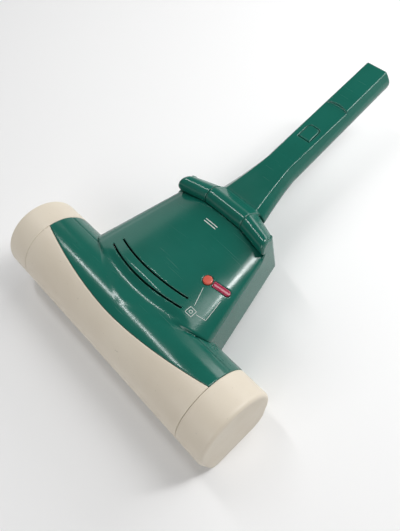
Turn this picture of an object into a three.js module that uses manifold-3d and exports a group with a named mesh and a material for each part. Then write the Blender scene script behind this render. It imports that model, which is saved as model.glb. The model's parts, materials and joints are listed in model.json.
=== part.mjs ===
// A powered hand vacuum: a wide roll housing with a brush in it, a tapered body behind the
// housing with the motor, fan and dust box, and a slim neck that folds up on a knuckle hinge.
// Millimetres. +X runs along the brush roll, +Y back towards the neck, +Z up from the sole.
// Inside the model group y = 0 lies under the roll housing's centre; the whole group is then
// shifted so that the origin is under the middle of the machine.

import * as THREE from "three";
import { mergeVertices } from "three/addons/utils/BufferGeometryUtils.js";
import Module from "manifold-3d";

const wasm = await Module();
wasm.setup();

// ---- driving dimensions -------------------------------------------------------------------

const GAP = 0.3;
const WALL = 2.6;

// roll housing: a round tube with a flat sole, as the circles [y, z, radius] it wraps
const HOUSING = [[0, 41.5, 41], [-27.5, 10, 10], [15, 19, 19]];
const CAP = { seam: 118, end: 150, edge: 3.5 };
const SEAM_HEIGHT = 69;
const SOLE_HEIGHT = 5;
const MOUTH = { half: 108, front: -24, back: 14 };

// body behind the housing
const BODY = { frontHalf: 83.5, frontY: 34.5, rearHalf: 55.5, rearY: 146.7, backY: 158.3, floor: 20 };
const TAPER = Math.atan2(BODY.frontHalf - BODY.rearHalf, BODY.rearY - BODY.frontY);
const CROWN = { height: 84, y: 30, slope: 0.107, radius: 226 };
const EDGE_HEIGHT = 63;
const SLOTS = [{ y: 31.2, half: 51, radius: 185 }, { y: 42.8, half: 48, radius: 200 }];
const SLOT_X = -4;
const SLOT_WIDTH = 1.8;

// red button and indicator lens on the body
const PRESS = { x: 43, y: 74, radius: 4.7, clearance: 0.35 };
const LENS = { away: 14.8, turn: 0.21, length: 18.4, width: 6.2 };

// hinge and neck
const HINGE = { y: 142.8, z: 72.7, radius: 9.7, half: 24.7, pin: 3, pinHalf: 42.5 };
const KNUCKLE_END = { front: 126.5, depth: 22.5, drop: 0.5, lip: 0.8, lipWidth: 1.8 };
const NECK = { start: 158.8, end: 362, top: 71.5, slope: 0.083, split: -15.5 };
const NECK_SECTION = [[10.9, -1.8, 1.8], [-10.9, -1.8, 1.8], [5, -12.4, 12.3], [-5, -12.4, 12.3]];
const NECK_INSIDE = [[9.3, -3.8, 0.4], [-9.3, -3.8, 0.4], [5, -12.4, 8.9], [-5, -12.4, 8.9]];
const SCOOP = { start: 222, end: 300.5, depth: 1.6 };
const THUMB = { y: 258, halfWidth: 7.2, length: 17 };
const INLET = { half: 8, top: -4.6, bottom: -15, depth: 12 };

// brush roll, motor and belt
const ROLL = { y: 0, z: 33.5, core: 17, tip: 32.9, end: 113.5, shaft: 3 };
const MOTOR = { y: 98, z: 47, radius: 21, shaft: 2.5 };
const BELT = { from: 54.3, to: 61.7, thickness: 1.6, big: 16, small: 6 };
const FAN = { radius: 18.5, from: -42, to: -27 };

// dust box and running wheels
const BOX = { right: 49, front: 43.5, back: 70, floor: 24, top: 57, wall: 1.6 };
const PORT = { left: -54, right: -6, bottom: 34, top: 49 };
const WHEEL = { x: 36, y: 118, radius: 9.5, width: 8, axle: 2 };
const FILTER = { left: -68, right: 44, front: 70.4, back: 75.2, rim: 3.7 };
const CASE_SCREW = { x: 42, y: 130, post: 4 };
const TOOTH_DEPTH = 0.9;

const MIDDLE_Y = (NECK.end - HOUSING[0][2]) / 2;

// ---- materials ----------------------------------------------------------------------------

const finish = (color, roughness, metalness = 0) =>
  new THREE.MeshStandardMaterial({ color, roughness, metalness });

const green = finish(0x1e6255, 0.22);
const beige = finish(0xd5cbba, 0.45);
const red = finish(0xde5c48, 0.35);
const lensRed = finish(0x8c2440, 0.15);
const black = finish(0x1c1d1e, 0.5);
const grey = finish(0x55585a, 0.5);
const smoke = finish(0x4a4f52, 0.25);
const bristle = finish(0x2b2b2d, 0.8);
const steel = finish(0xb8babd, 0.3, 1);
const bronze = finish(0x9a7340, 0.4, 1);
const rubber = finish(0x151515, 0.85);
const foam = finish(0x3b3d40, 0.95);
const board = finish(0x2f6b3a, 0.5);

// ---- solids -------------------------------------------------------------------------------

// only the corners of a geometry, each once
function weld(geometry) {
  const plain = geometry.clone();
  plain.deleteAttribute("normal");
  plain.deleteAttribute("uv");
  return mergeVertices(plain, 1e-4);
}

// a closed three.js geometry as a solid that can be joined and cut
function solid(geometry) {
  const merged = weld(geometry);
  const vertProperties = Float32Array.from(merged.attributes.position.array);
  const triVerts = Uint32Array.from(merged.index.array);
  return new wasm.Manifold(new wasm.Mesh({ numProp: 3, vertProperties, triVerts }));
}

// a solid as a three.js geometry
function geometryOf(body) {
  const mesh = body.getMesh();
  const geometry = new THREE.BufferGeometry();
  geometry.setAttribute("position", new THREE.BufferAttribute(mesh.vertProperties, 3));
  geometry.setIndex(new THREE.BufferAttribute(mesh.triVerts, 1));
  return geometry;
}

// moves a solid by a matrix
const moved = (body, matrix) => solid(geometryOf(body).applyMatrix4(matrix));

// the same solid on the other side of x = 0
function mirrored(body) {
  const geometry = weld(geometryOf(body)).scale(-1, 1, 1);
  const index = geometry.index.array;
  for (let i = 0; i < index.length; i += 3) {
    [index[i], index[i + 1]] = [index[i + 1], index[i]];
  }
  return solid(geometry);
}

// moves every corner of a geometry
function warp(geometry, move) {
  const place = geometry.attributes.position;
  const corner = new THREE.Vector3();
  for (let i = 0; i < place.count; i += 1) {
    corner.fromBufferAttribute(place, i);
    move(corner);
    place.setXYZ(i, corner.x, corner.y, corner.z);
  }
  return geometry;
}

const AXES = {
  x: new THREE.Matrix4().set(0, 0, 1, 0, 1, 0, 0, 0, 0, 1, 0, 0, 0, 0, 0, 1),
  y: new THREE.Matrix4().set(1, 0, 0, 0, 0, 0, -1, 0, 0, 1, 0, 0, 0, 0, 0, 1),
  z: new THREE.Matrix4(),
};

// an outline pushed along an axis; the outline lies in (y, z), (x, z) or (x, y)
function prismGeometry(outline, axis, from, to, options = {}) {
  const shape = Array.isArray(outline) ? new THREE.Shape(outline) : outline;
  const settings = { depth: to - from, bevelEnabled: false, curveSegments: 10, ...options };
  const geometry = new THREE.ExtrudeGeometry(shape, settings);
  geometry.applyMatrix4(AXES[axis]);
  const start = { x: [from, 0, 0], y: [0, to, 0], z: [0, 0, from] }[axis];
  return geometry.translate(...start);
}

const prism = (...args) => solid(prismGeometry(...args));
const corners = (...pairs) => pairs.map(([a, b]) => new THREE.Vector2(a, b));
const mix = (a, b, t) => a + (b - a) * t;

function box(x0, x1, y0, y1, z0, z1) {
  const geometry = new THREE.BoxGeometry(x1 - x0, y1 - y0, z1 - z0);
  return solid(geometry.translate((x0 + x1) / 2, (y0 + y1) / 2, (z0 + z1) / 2));
}

// round bars along an axis, from one end to the other
function barX(radius, x0, x1, y, z, sides = 20) {
  const geometry = new THREE.CylinderGeometry(radius, radius, x1 - x0, sides);
  return solid(geometry.rotateZ(Math.PI / 2).translate((x0 + x1) / 2, y, z));
}

function barY(radius, y0, y1, x, z, sides = 12) {
  const geometry = new THREE.CylinderGeometry(radius, radius, y1 - y0, sides);
  return solid(geometry.translate(x, (y0 + y1) / 2, z));
}

function barZ(radius, z0, z1, x = 0, y = 0, sides = 16) {
  const geometry = new THREE.CylinderGeometry(radius, radius, z1 - z0, sides);
  return solid(geometry.rotateX(Math.PI / 2).translate(x, y, (z0 + z1) / 2));
}

// the outline of a band wrapped round circles [u, v, radius]
function wrapped(circles, grow = 0, steps = 40) {
  const outline = [];
  for (let i = 0; i < steps; i += 1) {
    const angle = (2 * Math.PI * i) / steps;
    const c = Math.cos(angle);
    const s = Math.sin(angle);
    const reach = ([u, v, r]) => u * c + v * s + r;
    const along = ([u, v]) => v * c - u * s;
    const most = Math.max(...circles.map(reach));
    const touching = circles.filter((circle) => most - reach(circle) < 1e-6);
    touching.sort((p, q) => along(p) - along(q));
    for (const [u, v, r] of touching) {
      outline.push(new THREE.Vector2(u + (r + grow) * c, v + (r + grow) * s));
    }
  }
  return outline;
}

// a round outline with square teeth
function toothed(y, z, radius, teeth) {
  const outline = [];
  for (let i = 0; i < teeth * 4; i += 1) {
    const angle = (2 * Math.PI * i) / (teeth * 4);
    const reach = i % 4 < 2 ? radius : radius - TOOTH_DEPTH;
    outline.push(new THREE.Vector2(y + reach * Math.cos(angle), z + reach * Math.sin(angle)));
  }
  return outline;
}

// a coil spring standing on z = 0
function coil(radius, height, turns, wire) {
  class Helix extends THREE.Curve {
    getPoint(t, target = new THREE.Vector3()) {
      const angle = 2 * Math.PI * turns * t;
      return target.set(radius * Math.cos(angle), radius * Math.sin(angle), wire + (height - 2 * wire) * t);
    }
  }
  const ring = new THREE.Shape(wrapped([[0, 0, wire]], 0, 6));
  return new THREE.ExtrudeGeometry(ring, { extrudePath: new Helix(), steps: turns * 9 });
}

// ---- the model ----------------------------------------------------------------------------

const model = new THREE.Group();
model.position.y = -MIDDLE_Y;

function add(name, body, material, parent = model) {
  const geometry = body.isBufferGeometry ? body : geometryOf(body);
  const mesh = new THREE.Mesh(geometry, material);
  mesh.name = name;
  parent.add(mesh);
}

// ---- shared outlines ----------------------------------------------------------------------

const housing = (grow, half) => prism(wrapped(HOUSING, grow), "x", -half, half);
const housingShell = () => housing(0, CAP.seam - GAP / 2).subtract(housing(-WALL, CAP.seam));

// where the light front cover ends on top of the housing
const frontSeam = (x) => -11.3 + 17.4 * (Math.abs(x) / CAP.seam) ** 1.8;

// everything in front of (side -1) or behind (side 1) the front cover's top edge
function besideFrontSeam(side) {
  const seam = [];
  const reach = CAP.seam + 2;
  for (let i = 0; i <= 16; i += 1) {
    const x = mix(-reach, reach, i / 16);
    seam.push(new THREE.Vector2(x, frontSeam(x) + (side * GAP) / 2));
  }
  const outline = [...seam, ...corners([reach, side * 190], [-reach, side * 190])];
  return prism(outline, "z", -5, 100);
}

// height of the body's crowned, sloping top
const topHeight = (x, y) =>
  CROWN.height - CROWN.slope * (y - CROWN.y) - (x * x) / (2 * CROWN.radius);

// everything below the body's top, lowered by drop
function underCrown(drop) {
  const arc = [];
  for (let i = 0; i <= 14; i += 1) {
    const x = mix(95, -95, i / 14);
    arc.push(new THREE.Vector2(x, topHeight(x, CROWN.y) - drop));
  }
  const geometry = prismGeometry([...arc, ...corners([-95, -20], [95, -20])], "y", -10, 170);
  return solid(warp(geometry, (p) => { p.z -= CROWN.slope * (p.y - CROWN.y); }));
}

// the body seen from above
function plan(inset) {
  const right = [
    [62, 27],
    [BODY.frontHalf - inset, BODY.frontY],
    [BODY.rearHalf - inset, BODY.rearY - inset],
    [HINGE.half + 0.5, BODY.backY - inset],
  ];
  const left = right.map(([x, y]) => [-x, y]).reverse();
  return corners(...right, ...left);
}

// cuts the long top edge of the right side wall at 45 degrees
function edgeCutter(inset) {
  const geometry = new THREE.BoxGeometry(40, 300, 40).translate(20, 0, 20);
  geometry.rotateY(-Math.PI / 4).translate(-inset, 0, EDGE_HEIGHT).rotateZ(TAPER);
  return solid(geometry.translate(BODY.frontHalf, BODY.frontY, 0));
}

function bodyBlock(inset) {
  const floor = inset > 0 ? 0 : BODY.floor;
  const block = prism(plan(inset), "z", floor, 100).intersect(underCrown(inset));
  const cutter = edgeCutter(inset);
  return block.subtract(cutter).subtract(mirrored(cutter));
}

// a frame lying on the body's top, z along the surface normal
function topFrame(x, y, turn = 0) {
  const normal = new THREE.Vector3(x / CROWN.radius, CROWN.slope, 1).normalize();
  const group = new THREE.Group();
  group.position.set(x, y, topHeight(x, y));
  group.quaternion.setFromUnitVectors(new THREE.Vector3(0, 0, 1), normal);
  group.rotateZ(turn);
  group.updateMatrix();
  model.add(group);
  return group;
}

const pressFrame = topFrame(PRESS.x, PRESS.y);
const lensFrame = topFrame(
  PRESS.x + LENS.away * Math.cos(LENS.turn),
  PRESS.y + LENS.away * Math.sin(LENS.turn),
  LENS.turn,
);

// ---- upper shell --------------------------------------------------------------------------

const KNUCKLE = [[HINGE.y, HINGE.z, HINGE.radius], [158, 71, 0.6]];
const NECK_ROOT = [...KNUCKLE, [NECK.start, 60, 1]];

// the soft ramp that joins the top of the housing to the top of the body
function ramp() {
  const slope = corners([34, 84], [30, 83.7], [24, 80.8], [18, 79.4], [10, 80.4], [2, 82.3]);
  const profile = [...corners([2, 60], [34, 60]), ...slope];
  const outline = corners([-40, 0], [40, 0], [62, 28], [62, 36], [-62, 36], [-62, 28]);
  return prism(profile, "x", -62, 62)
    .intersect(prism(outline, "z", 50, 100))
    .intersect(underCrown(0));
}

// the right outer knuckle's form, swept forward and thinner towards the side wall
function knuckleForm(grow) {
  const inner = HINGE.half + GAP / 2;
  const outer = BODY.rearHalf + 4;
  const section = wrapped([...KNUCKLE, [150, 60, 1]], grow, 24);
  const front = HINGE.y - HINGE.radius;
  const depth = BODY.backY - front;
  const geometry = warp(prismGeometry(section, "x", inner, outer), (p) => {
    const t = (p.x - inner) / (outer - inner);
    const share = (p.y - front) / depth;
    p.y = mix(front, KNUCKLE_END.front, t) + share * mix(depth, KNUCKLE_END.depth, t);
    p.z -= KNUCKLE_END.drop * t;
  });
  return solid(geometry).intersect(prism(plan(0), "z", 0, 100));
}

// the knuckle with the lip of the side wall that covers its end
function sideKnuckle() {
  const lip = knuckleForm(KNUCKLE_END.lip).subtract(prism(plan(KNUCKLE_END.lipWidth), "z", 0, 100));
  return knuckleForm(0).add(lip);
}

// an air slot across the top of the body, bowed towards the front
function airSlot({ y, half, radius }) {
  const shape = new THREE.Shape();
  const sweep = Math.asin(half / radius);
  const down = -Math.PI / 2;
  shape.absarc(SLOT_X, y + radius, radius + SLOT_WIDTH / 2, down - sweep, down + sweep, false);
  shape.absarc(SLOT_X, y + radius, radius - SLOT_WIDTH / 2, down + sweep, down - sweep, true);
  return prism(shape, "z", 60, 100);
}

// the notch in which the neck's knuckle turns
function hingeNotch() {
  const half = HINGE.half + GAP / 2;
  const turning = prism(wrapped(NECK_ROOT, 0.4, 32), "x", -half, half);
  return turning.add(box(-half, half, HINGE.y - HINGE.radius - 0.4, 170, HINGE.z, 100));
}

// the tube in which the red button slides, with a flange for its spring
function buttonGuide() {
  const tube = barZ(PRESS.radius + 2, -8.6, -1).subtract(barZ(PRESS.radius + PRESS.clearance, -7.4, 0));
  return moved(tube.subtract(barZ(2.4, -9, -7)), pressFrame.matrix);
}

function lensOutline(grow) {
  const half = LENS.width / 2 + grow;
  const tip = LENS.length / 2 - LENS.width / 2;
  const shape = new THREE.Shape();
  shape.moveTo(-LENS.length / 2 - grow, half);
  shape.lineTo(-LENS.length / 2 - grow, -half);
  shape.lineTo(tip, -half);
  shape.absarc(tip, 0, half, -Math.PI / 2, Math.PI / 2, false);
  return shape;
}

const screwPosts = [-CASE_SCREW.x, CASE_SCREW.x];

function upperShell() {
  const aboveSeam = box(-120, 120, -60, 60, SEAM_HEIGHT + GAP / 2, 100);
  const rearStrip = housing(GAP, CAP.seam).subtract(aboveSeam);
  const knuckle = sideKnuckle();
  const cradle = prism(wrapped(NECK_ROOT, 2.4, 32), "x", -HINGE.half - 2.4, HINGE.half + 2.4);
  const hollow = bodyBlock(WALL).subtract(housing(0, CAP.seam)).subtract(cradle);
  let shell = housing(0, CAP.seam - GAP / 2).add(bodyBlock(0)).add(ramp());
  shell = shell.subtract(housing(-WALL, CAP.seam)).subtract(hollow).subtract(rearStrip);
  shell = shell.add(knuckle).add(mirrored(knuckle)).intersect(besideFrontSeam(1));
  for (const x of screwPosts) {
    const outer = barZ(CASE_SCREW.post, 23, 68, x, CASE_SCREW.y, 12);
    const post = outer.subtract(barZ(1.8, 20, 42, x, CASE_SCREW.y, 12));
    shell = shell.add(post.intersect(underCrown(1)));
  }
  shell = shell.add(buttonGuide().intersect(underCrown(0.5)));
  for (const slot of SLOTS) shell = shell.subtract(airSlot(slot));
  shell = shell.subtract(moved(barZ(PRESS.radius + PRESS.clearance, -5, 5, 0, 0, 20), pressFrame.matrix));
  shell = shell.subtract(moved(prism(lensOutline(GAP), "z", -8, 8), lensFrame.matrix));
  shell = shell.subtract(drawerWindow()).subtract(hingeNotch());
  return shell.subtract(barX(HINGE.pin + GAP, -43, 43, HINGE.y, HINGE.z, 16));
}

function drawerWindow() {
  return box(-95, -60, BOX.front - GAP, BOX.back + GAP, 10, BOX.top + GAP);
}

// ---- base, front cover, sole and end caps -------------------------------------------------

// a pair of lugs that holds the axle on each side of a running wheel
function wheelLugs(side) {
  const inner = WHEEL.x - WHEEL.width / 2;
  const outer = WHEEL.x + WHEEL.width / 2;
  let lugs = box(inner - 3, inner - 0.5, WHEEL.y - 5, WHEEL.y + 5, 5, BODY.floor + 1);
  lugs = lugs.add(box(outer + 0.5, outer + 3, WHEEL.y - 5, WHEEL.y + 5, 5, BODY.floor + 1));
  return side > 0 ? lugs : mirrored(lugs);
}

function baseShell() {
  const strip = box(-120, 120, 6, 60, SOLE_HEIGHT + GAP / 2, SEAM_HEIGHT - GAP / 2);
  const floor = prism(plan(WALL + GAP), "z", BODY.floor, BODY.floor + WALL);
  let base = housingShell().intersect(strip).add(floor.subtract(housing(-WALL / 2, CAP.seam)));
  base = base.add(wheelLugs(1)).add(wheelLugs(-1));
  base = base.subtract(barX(WHEEL.axle + GAP, -50, 50, WHEEL.y, WHEEL.radius, 12));
  base = base.subtract(box(PORT.left, PORT.right, 28, 46, PORT.bottom, PORT.top));
  base = base.subtract(box(BELT.from - 1.3, BELT.to + 1.3, 25, 46, BODY.floor + WALL, 56));
  for (const x of screwPosts) base = base.subtract(barZ(1.9, 10, 30, x, CASE_SCREW.y, 12));
  return base;
}

function frontCover() {
  const sole = box(-120, 120, -60, 60, -5, SOLE_HEIGHT + GAP / 2);
  return housingShell().intersect(besideFrontSeam(-1)).subtract(sole);
}

function solePlate() {
  const low = box(-120, 120, -60, 60, -5, SOLE_HEIGHT - GAP / 2);
  const mouth = box(-MOUTH.half, MOUTH.half, MOUTH.front, MOUTH.back, -5, 10);
  return housingShell().intersect(low).subtract(mouth);
}

// the right end cap with the boss that holds the brush roll's bush
function endCap() {
  const bevel = { bevelEnabled: true, bevelThickness: CAP.edge, bevelSize: CAP.edge };
  const options = { ...bevel, bevelOffset: -CAP.edge, bevelSegments: 3 };
  const outer = prism(wrapped(HOUSING), "x", 100, CAP.end - CAP.edge, options);
  const cup = outer
    .intersect(box(CAP.seam + GAP / 2, 160, -60, 60, -5, 90))
    .subtract(prism(wrapped(HOUSING, -WALL), "x", 100, CAP.end - CAP.edge));
  const boss = barX(9, 121, CAP.end - 2, ROLL.y, ROLL.z);
  return cup.add(boss).subtract(barX(6 + GAP, 120, 131, ROLL.y, ROLL.z));
}

function bush() {
  const ring = barX(6, 121.3, 129, ROLL.y, ROLL.z);
  return ring.subtract(barX(ROLL.shaft + 0.4, 120, 130, ROLL.y, ROLL.z));
}

add("upper_shell", upperShell(), green);
add("base_shell", baseShell(), green);
add("front_cover", frontCover(), beige);
add("sole_plate", solePlate(), grey);
add("right_end_cap", endCap(), beige);
add("left_end_cap", mirrored(endCap()), beige);
add("right_roll_bush", bush(), bronze);
add("left_roll_bush", mirrored(bush()), bronze);

for (const [side, x] of [["left", -CASE_SCREW.x], ["right", CASE_SCREW.x]]) {
  const head = barZ(3.2, 17.9, 19.7, x, CASE_SCREW.y, 12);
  const screw = head.add(barZ(1.5, 19.5, 38, x, CASE_SCREW.y, 12));
  add(`${side}_case_screw`, screw, steel);
}

// ---- brush roll ---------------------------------------------------------------------------

// a bristle strip that winds round the core
function strip(from, to, turn, grow = 0) {
  const foot = 15 - grow;
  const reach = ROLL.tip - foot;
  const pieces = Math.round((to - from) / 14);
  const size = [to - from + 2 * grow, 4 + 2 * grow, reach];
  const geometry = new THREE.BoxGeometry(...size, pieces, 1, 1);
  geometry.translate((from + to) / 2, 0, foot + reach / 2);
  warp(geometry, (p) => {
    const angle = turn + 0.012 * p.x;
    const side = p.y;
    const out = p.z;
    p.y = ROLL.y + out * Math.cos(angle) + side * Math.sin(angle);
    p.z = ROLL.z + out * Math.sin(angle) - side * Math.cos(angle);
  });
  return solid(geometry);
}

const STRIPS = {
  bristles_long_front: [-106, 50, 0.4],
  bristles_long_rear: [-106, 50, 0.4 + Math.PI],
  bristles_short_front: [66, 106, 0.4],
  bristles_short_rear: [66, 106, 0.4 + Math.PI],
};

function rollCore() {
  const { y, z, core, end } = ROLL;
  let body = barX(core, -end, BELT.from - 0.7, y, z, 28);
  body = body.add(barX(12, BELT.from - 1, BELT.to + 1, y, z, 24));
  body = body.add(barX(core, BELT.to + 0.7, end, y, z, 28));
  for (const place of Object.values(STRIPS)) body = body.subtract(strip(...place, GAP));
  return body.subtract(barX(ROLL.shaft + GAP, -120, 120, y, z, 16));
}

function rollPulley() {
  const ring = prism(toothed(ROLL.y, ROLL.z, BELT.big, 20), "x", BELT.from, BELT.to);
  return ring.subtract(barX(12 + GAP, 50, 70, ROLL.y, ROLL.z, 24));
}

add("roll_core", rollCore(), black);
add("roll_shaft", barX(ROLL.shaft, -127, 127, ROLL.y, ROLL.z, 16), steel);
add("roll_pulley", rollPulley(), grey);
for (const [name, place] of Object.entries(STRIPS)) add(name, strip(...place), bristle);

// ---- motor, fan and belt ------------------------------------------------------------------

function motorCan() {
  const { y, z, radius } = MOTOR;
  const can = barX(radius, -18, 44, y, z, 28).add(barX(7, 43, 50, y, z));
  const inside = barX(radius - 2.5, -15.5, 41.5, y, z, 28);
  return can.subtract(inside).subtract(barX(MOTOR.shaft + 0.4, -20, 52, y, z, 16));
}

function armature() {
  const bar = barX(15.5, -10, 34, MOTOR.y, MOTOR.z, 18);
  return bar.subtract(barX(MOTOR.shaft + GAP, -12, 36, MOTOR.y, MOTOR.z, 16));
}

function motorCradle() {
  const block = box(-14, 38, 80, 116, BODY.floor + WALL + GAP, 40);
  return block.subtract(barX(MOTOR.radius + GAP, -20, 50, MOTOR.y, MOTOR.z, 28));
}

function fanWheel() {
  const { y, z } = MOTOR;
  const disc = barX(FAN.radius, FAN.to - 1.5, FAN.to, y, z, 24);
  let wheel = barX(6, FAN.from, FAN.to, y, z, 16).add(disc);
  for (let i = 0; i < 8; i += 1) {
    const blade = new THREE.BoxGeometry(FAN.to - FAN.from - 2, 1.4, FAN.radius - 5.5);
    blade.translate((FAN.from + FAN.to) / 2, 0, (FAN.radius + 4.5) / 2).rotateX((Math.PI * i) / 4);
    wheel = wheel.add(solid(blade.translate(0, y, z)));
  }
  return wheel.subtract(barX(MOTOR.shaft + GAP, -50, -20, y, z, 16));
}

// the fan's cover, open to the motor, with a round inlet and a slot for the air to leave
function fanHousing() {
  const { y, z } = MOTOR;
  const cup = barX(21.6, -46, -18.5, y, z, 28).subtract(barX(20.2, -44.5, -18, y, z, 28));
  return cup.subtract(barX(10, -50, -44, y, z)).subtract(box(-40, -28, 85, 111, 58, 75));
}

function driveBelt() {
  const pulleys = [[ROLL.y, ROLL.z, BELT.big], [MOTOR.y, MOTOR.z, BELT.small]];
  const outer = prism(wrapped(pulleys, GAP + BELT.thickness), "x", BELT.from, BELT.to);
  return outer.subtract(prism(wrapped(pulleys, GAP), "x", BELT.from - 1, BELT.to + 1));
}

function motorPulley() {
  const wheel = prism(toothed(MOTOR.y, MOTOR.z, BELT.small, 8), "x", BELT.from, BELT.to);
  return wheel.subtract(barX(MOTOR.shaft + GAP, 50, 70, MOTOR.y, MOTOR.z, 16));
}

add("motor_can", motorCan(), steel);
add("motor_cradle", motorCradle(), grey);
add("motor_armature", armature(), bronze);
add("motor_shaft", barX(MOTOR.shaft, -50, 63, MOTOR.y, MOTOR.z, 16), steel);
add("motor_pulley", motorPulley(), grey);
add("fan_wheel", fanWheel(), black);
add("fan_housing", fanHousing(), grey);
add("drive_belt", driveBelt(), rubber);

// ---- dust box and filter ------------------------------------------------------------------

const portHole = () => box(PORT.left, PORT.right, 40, 46, PORT.bottom, PORT.top);

function dustBox() {
  const { right, front, back, floor, top, wall } = BOX;
  const shape = (inset, from, to) =>
    prism(plan(WALL + GAP + inset), "z", from, to)
      .intersect(box(-95, right - inset, front + inset, back - inset, 0, 90));
  const bin = shape(0, floor, top).subtract(shape(wall, floor + wall, top + 5));
  return bin.subtract(portHole()).subtract(box(-58, 36, back - 4, back + 2, 30, 52));
}

// the green face of the dust box, with ribs for the fingers
function drawerFace() {
  const shell = bodyBlock(0).subtract(bodyBlock(WALL));
  let face = shell.intersect(box(-95, -60, BOX.front, BOX.back, BODY.floor, BOX.top));
  for (const z of [34, 39, 44]) {
    const rib = new THREE.BoxGeometry(2.4, 17, 1.8).translate(0, 22, z).rotateZ(-TAPER);
    face = face.add(solid(rib.translate(-BODY.frontHalf - 0.2, BODY.frontY, 0)));
  }
  return face;
}

function filterFrame() {
  const { left, right, front, back, rim } = FILTER;
  const frame = box(left, right, front, back, BODY.floor + WALL + GAP, 58);
  return frame.subtract(box(left + rim, right - rim, front - 0.4, back + 0.8, 26.7, 55.3));
}

function ductSeal() {
  return box(-58, -2, 41.3, 43.2, 30, 53).subtract(portHole());
}

add("dust_box", dustBox(), smoke);
add("dust_box_face", drawerFace(), green);
add("duct_seal", ductSeal(), rubber);
add("filter_frame", filterFrame(), grey);
const padInset = FILTER.rim + GAP;
const filterPad = box(FILTER.left + padInset, FILTER.right - padInset, FILTER.front, FILTER.back, 27, 55);
add("filter_pad", filterPad, foam);

// ---- red button, lens and circuit board ---------------------------------------------------

const redButton = barZ(PRESS.radius, -2.2, 1.5, 0, 0, 20).add(barZ(2, -10, -2));
add("red_button", redButton, red, pressFrame);
const pressSpring = coil(3.2, 4.6, 3, 0.4).translate(0, 0, -7.1);
add("red_button_spring", pressSpring, steel, pressFrame);
add("indicator_lens", prism(lensOutline(0), "z", -2.4, 0.5), lensRed, lensFrame);
add("indicator_lamp", barZ(2.2, -7, -3.2, 0, 0, 12), beige, lensFrame);
add("control_board", box(24, 66, 46, 80, 58, 59.6), board);
add("button_switch", box(36, 44, 69, 76, 59.9, 62.2), black);

// ---- neck ---------------------------------------------------------------------------------

const neckTop = (y) => NECK.top + NECK.slope * (y - NECK.start);

// how many times wider than its end the neck is
const neckWidth = (y) =>
  1 + 0.0009 * (NECK.end - y) + 0.58 * (Math.max(0, 215 - y) / (215 - NECK.start)) ** 1.3;

// lays a piece made level along the sloping neck
const slope = (geometry) => warp(geometry, (p) => { p.z += neckTop(p.y); });

function neckBar(circles, from, to) {
  const section = wrapped(circles, 0, 28);
  const geometry = prismGeometry(section, "y", from, to, { steps: 14 });
  return solid(slope(warp(geometry, (p) => { p.x *= neckWidth(p.y); })));
}

function neckSlice(bottom, top) {
  const geometry = new THREE.BoxGeometry(90, 240, top - bottom);
  return solid(slope(geometry.translate(0, 260, (top + bottom) / 2)));
}

// a wedge that hollows the top of the neck for the thumb and ends in a step
function thumbScoop() {
  const { start, end, depth } = SCOOP;
  const outline = corners([start, 0], [end, -depth], [end, 8], [start - 30, 8]);
  return solid(slope(prismGeometry(outline, "x", -40, 40)));
}

const SCOOP_SLOPE = NECK.slope - SCOOP.depth / (SCOOP.end - SCOOP.start);
const scoopDepth = (y) => (SCOOP.depth * (y - SCOOP.start)) / (SCOOP.end - SCOOP.start);
const thumbFrame = new THREE.Group();
thumbFrame.position.set(0, THUMB.y, neckTop(THUMB.y) - scoopDepth(THUMB.y));
thumbFrame.rotation.x = Math.atan(SCOOP_SLOPE);
thumbFrame.updateMatrix();
model.add(thumbFrame);

// the thumb button seen from above, straight in front and rounded behind
function thumbOutline(grow) {
  const half = THUMB.halfWidth + grow;
  const front = -THUMB.length / 2 - grow;
  const back = THUMB.length / 2 + grow;
  const shape = new THREE.Shape();
  shape.moveTo(-half, front);
  shape.lineTo(half, front);
  shape.lineTo(half, back - 5);
  shape.quadraticCurveTo(half, back, half - 5, back);
  shape.lineTo(5 - half, back);
  shape.quadraticCurveTo(-half, back, -half, back - 5);
  return shape;
}

const neckPosts = [225, 330];

function hollowNeck() {
  const inside = neckBar(NECK_INSIDE, NECK.start + 3.2, NECK.end - 2.5);
  return neckBar(NECK_SECTION, NECK.start, NECK.end).subtract(inside);
}

function neckShell() {
  const barrel = prism(wrapped(NECK_ROOT, 0, 32), "x", -HINGE.half + GAP / 2, HINGE.half - GAP / 2);
  let shell = hollowNeck().subtract(neckSlice(-60, NECK.split));
  for (const y of neckPosts) {
    const post = barZ(3.4, neckTop(y) - 20, neckTop(y) - 1, 0, y, 12);
    shell = shell.add(post.subtract(barZ(1.7, 40, neckTop(y) - 5, 0, y, 12)));
  }
  shell = shell.add(barrel).subtract(thumbScoop());
  shell = shell.subtract(moved(prism(thumbOutline(0.4), "z", -4, 6), thumbFrame.matrix));
  shell = shell.subtract(inletBlock(INLET.half + GAP, INLET.top + GAP, INLET.bottom - GAP, 20));
  return shell.subtract(barX(HINGE.pin + GAP, -30, 30, HINGE.y, HINGE.z, 16));
}

function inletBlock(half, top, bottom, depth) {
  const geometry = new THREE.BoxGeometry(2 * half, depth, top - bottom);
  return solid(slope(geometry.translate(0, NECK.end + 0.2 - depth / 2, (top + bottom) / 2)));
}

function neckCover() {
  let cover = hollowNeck().intersect(neckSlice(-60, NECK.split - GAP));
  for (const y of neckPosts) cover = cover.subtract(barZ(2, 30, 90, 0, y, 12));
  return cover;
}

// the two-pin power inlet in the end of the neck
function powerInlet() {
  const outer = inletBlock(INLET.half, INLET.top, INLET.bottom, INLET.depth);
  const end = NECK.end - 0.2;
  const block = outer.intersect(box(-20, 20, 300, end, 0, 120));
  const recess = inletBlock(INLET.half - 1.6, INLET.top - 1.6, INLET.bottom + 1.6, INLET.depth - 2.4);
  const middle = neckTop(end) + (INLET.top + INLET.bottom) / 2;
  const pin = barY(1.1, end - INLET.depth + 1, end - 2.5, 4.4, middle, 10);
  return block.subtract(recess).add(pin).add(mirrored(pin));
}

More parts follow.
